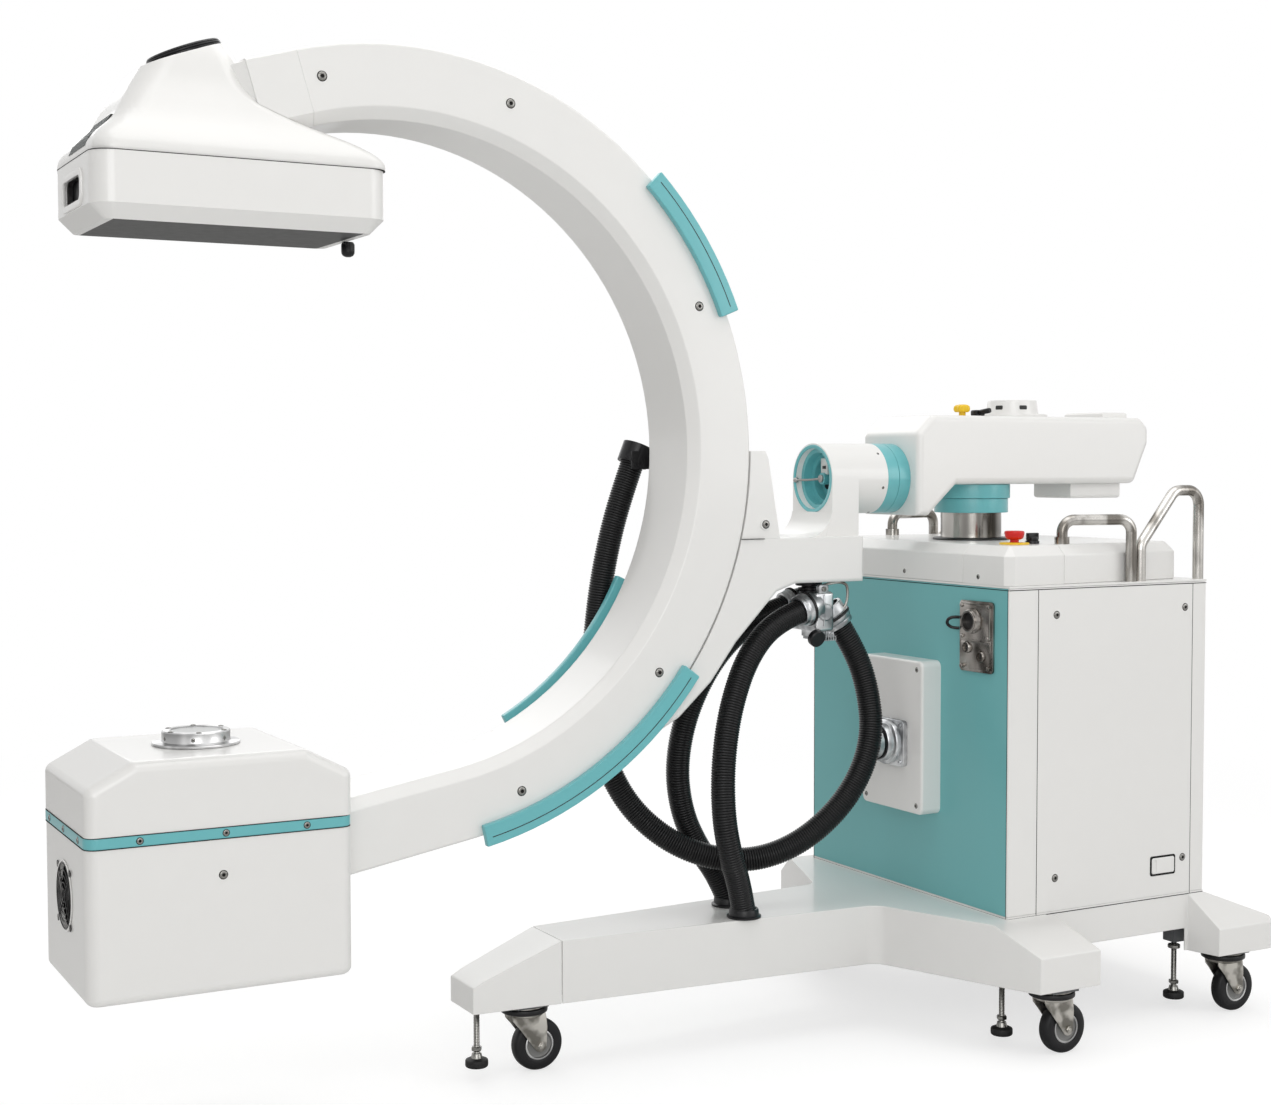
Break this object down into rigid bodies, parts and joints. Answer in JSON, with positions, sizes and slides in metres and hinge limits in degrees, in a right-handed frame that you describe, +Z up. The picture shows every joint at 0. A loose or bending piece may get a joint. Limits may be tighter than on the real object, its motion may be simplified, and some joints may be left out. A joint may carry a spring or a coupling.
{
  "type": "mobile c-arm x-ray unit",
  "caption": "Wheeled cabinet with a lift column and arm carrying a C-shaped rail, a box detector at its top end and an X-ray tube housing at its bottom end.",
  "frame": {"origin": "on the floor under the middle of the machine, measured without the hoses", "axes": "+X from the C towards the push handles, +Y towards the side with the led hose, +Z up"},
  "size_m": [2.383, 0.91, 1.8823],
  "materials": {
    "white_cover": "glossy moulded cover",
    "white_casting": "gloss painted casting",
    "white_steel": "gloss painted sheet",
    "teal_steel": "satin painted sheet",
    "teal_metal": "satin painted aluminium",
    "teal_plastic": "satin moulded strip",
    "frame_steel": "painted steel",
    "stainless": "brushed stainless tube",
    "chrome_tube": "ground and chromed",
    "zinc_steel": "zinc plated",
    "cast_metal": "bare casting",
    "grey_steel": "grey lacquer",
    "tyre_rubber": "black tyre on a grey hub",
    "pad_rubber": "steel post in a black pad",
    "black_plastic": "ribbed black plastic",
    "dark_panel": "dark grey entrance window",
    "nylon": "natural nylon",
    "yellow_plastic": "yellow plastic",
    "red_plastic": "red plastic",
    "hose_rubber": "corrugated hose",
    "unit_metal": "cast and filled",
    "power_mass": "transformers in a case"
  },
  "bodies": {
    "base": {"chassis_frame": "frame_steel", "base_cover": "white_cover", "front_leg_cap": "white_cover", "cabinet_frame": "white_steel", "front_panel": "teal_steel", "cabinet_panels": "white_steel", "top_lid": "white_cover", "lid_corner_cover": "white_cover", "stop_collar": "yellow_plastic", "front_box": "white_cover", "front_connectors": "cast_metal", "power_unit": "power_mass", "push_handles": "stainless", "column_outer": "zinc_steel", "hose_supply_near": "hose_rubber", "hose_supply_far": "hose_rubber"},
    "stop_button": {"stop_button": "red_plastic"},
    "rotary_knob": {"rotary_knob": "black_plastic"},
    "lift": {"column_inner": "chrome_tube"},
    "swivel": {"swivel_head": "teal_metal"},
    "arm": {"arm_housing": "white_casting", "arm_fittings": "white_cover", "flip_ring_rear": "teal_metal"},
    "lock_knob": {"arm_lock_knob": "yellow_plastic"},
    "carriage": {"flip_ring_front": "teal_metal", "carriage_body": "white_casting", "pivot_cup": "teal_metal", "carriage_cheek": "white_casting", "guide_shoe": "nylon", "hose_clamps": "cast_metal", "hose_lead": "hose_rubber"},
    "c_arm": {"c_rail": "white_casting", "c_end_cap": "white_cover", "c_face_bolts": "zinc_steel", "teal_guards": "teal_plastic", "detector_cover": "white_cover", "detector_tray": "white_cover", "detector_panel": "dark_panel", "detector_cap": "black_plastic", "tube_housing": "white_cover", "tube_cover": "white_cover", "collimator_ring": "cast_metal", "fan_guard": "black_plastic", "xray_tube_unit": "unit_metal"},
    "fan": {"fan_rotor": "black_plastic"},
    "fork_front": {"caster_fork_front": "grey_steel"},
    "wheel_front": {"caster_wheel_front": "tyre_rubber"},
    "foot_front": {"levelling_foot_front": "pad_rubber"},
    "fork_left": {"caster_fork_left": "grey_steel"},
    "wheel_left": {"caster_wheel_left": "tyre_rubber"},
    "foot_left": {"levelling_foot_left": "pad_rubber"},
    "fork_right": {"caster_fork_right": "grey_steel"},
    "wheel_right": {"caster_wheel_right": "tyre_rubber"},
    "foot_right": {"levelling_foot_right": "pad_rubber"},
    "fork_rear_left": {"caster_fork_rear_left": "grey_steel"},
    "wheel_rear_left": {"caster_wheel_rear_left": "tyre_rubber"},
    "foot_rear_left": {"levelling_foot_rear_left": "pad_rubber"},
    "fork_rear_right": {"caster_fork_rear_right": "grey_steel"},
    "wheel_rear_right": {"caster_wheel_rear_right": "tyre_rubber"},
    "foot_rear_right": {"levelling_foot_rear_right": "pad_rubber"}
  },
  "joints": [
    {"name": "column_lift", "type": "slide", "parent": "base", "child": "lift", "axis": [0, 0, 1], "range_m": [0, 0.4], "deforming": ["hose_supply_near", "hose_supply_far"]},
    {"name": "column_swivel", "type": "hinge", "parent": "lift", "child": "swivel", "pos_m": [0.7165, 0, 1.077], "axis": [0, 0, 1], "range_deg": [-12.5, 12.5], "deforming": ["hose_supply_near", "hose_supply_far"]},
    {"name": "arm_travel", "type": "slide", "parent": "swivel", "child": "arm", "axis": [-1, 0, 0], "range_m": [0, 0.13], "deforming": ["hose_supply_near", "hose_supply_far"]},
    {"name": "flip_rotation", "type": "hinge", "parent": "arm", "child": "carriage", "pos_m": [0.5035, 0, 1.1204], "axis": [-1, 0, 0], "range_deg": [-180, 180], "deforming": ["hose_supply_near", "hose_supply_far"]},
    {"name": "orbital_rotation", "type": "hinge", "parent": "carriage", "child": "c_arm", "pos_m": [-0.6085, 0, 1.1724], "axis": [0, 1, 0], "range_deg": [-20, 90]},
    {"name": "fan_spin", "type": "hinge", "parent": "c_arm", "child": "fan", "pos_m": [-1.1685, 0, 0.43], "axis": [-1, 0, 0], "continuous": true},
    {"name": "stop_press", "type": "slide", "parent": "base", "child": "stop_button", "axis": [0, 0, -1], "range_m": [0, 0.004], "stiffness_N_per_m": 900},
    {"name": "rotary_turn", "type": "hinge", "parent": "base", "child": "rotary_knob", "pos_m": [0.6735, -0.25, 0.989], "axis": [0, 0, 1], "range_deg": [-45, 45]},
    {"name": "lock_turn", "type": "hinge", "parent": "arm", "child": "lock_knob", "pos_m": [0.6535, -0.048, 1.2504], "axis": [0, 0, 1], "range_deg": [-90, 90]},
    {"name": "swivel_front", "type": "hinge", "parent": "base", "child": "fork_front", "pos_m": [-0.3425, 0, 0.13], "axis": [0, 0, 1], "continuous": true},
    {"name": "roll_front", "type": "hinge", "parent": "fork_front", "child": "wheel_front", "pos_m": [-0.3165, 0, 0.05], "axis": [0, 1, 0], "continuous": true},
    {"name": "level_front", "type": "slide", "parent": "base", "child": "foot_front", "axis": [0, 0, -1], "range_m": [0, 0.022]},
    {"name": "swivel_left", "type": "hinge", "parent": "base", "child": "fork_left", "pos_m": [0.6035, -0.4, 0.13], "axis": [0, 0, 1], "continuous": true},
    {"name": "roll_left", "type": "hinge", "parent": "fork_left", "child": "wheel_left", "pos_m": [0.6295, -0.4, 0.05], "axis": [0, 1, 0], "continuous": true},
    {"name": "level_left", "type": "slide", "parent": "base", "child": "foot_left", "axis": [0, 0, -1], "range_m": [0, 0.022]},
    {"name": "swivel_right", "type": "hinge", "parent": "base", "child": "fork_right", "pos_m": [0.6035, 0.4, 0.13], "axis": [0, 0, 1], "continuous": true},
    {"name": "roll_right", "type": "hinge", "parent": "fork_right", "child": "wheel_right", "pos_m": [0.6295, 0.4, 0.05], "axis": [0, 1, 0], "continuous": true},
    {"name": "level_right", "type": "slide", "parent": "base", "child": "foot_right", "axis": [0, 0, -1], "range_m": [0, 0.022]},
    {"name": "swivel_rear_left", "type": "hinge", "parent": "base", "child": "fork_rear_left", "pos_m": [1.1115, -0.35, 0.13], "axis": [0, 0, 1], "continuous": true},
    {"name": "roll_rear_left", "type": "hinge", "parent": "fork_rear_left", "child": "wheel_rear_left", "pos_m": [1.1375, -0.35, 0.05], "axis": [0, 1, 0], "continuous": true},
    {"name": "level_rear_left", "type": "slide", "parent": "base", "child": "foot_rear_left", "axis": [0, 0, -1], "range_m": [0, 0.022]},
    {"name": "swivel_rear_right", "type": "hinge", "parent": "base", "child": "fork_rear_right", "pos_m": [1.1115, 0.35, 0.13], "axis": [0, 0, 1], "continuous": true},
    {"name": "roll_rear_right", "type": "hinge", "parent": "fork_rear_right", "child": "wheel_rear_right", "pos_m": [1.1375, 0.35, 0.05], "axis": [0, 1, 0], "continuous": true},
    {"name": "level_rear_right", "type": "slide", "parent": "base", "child": "foot_rear_right", "axis": [0, 0, -1], "range_m": [0, 0.022]}
  ]
}
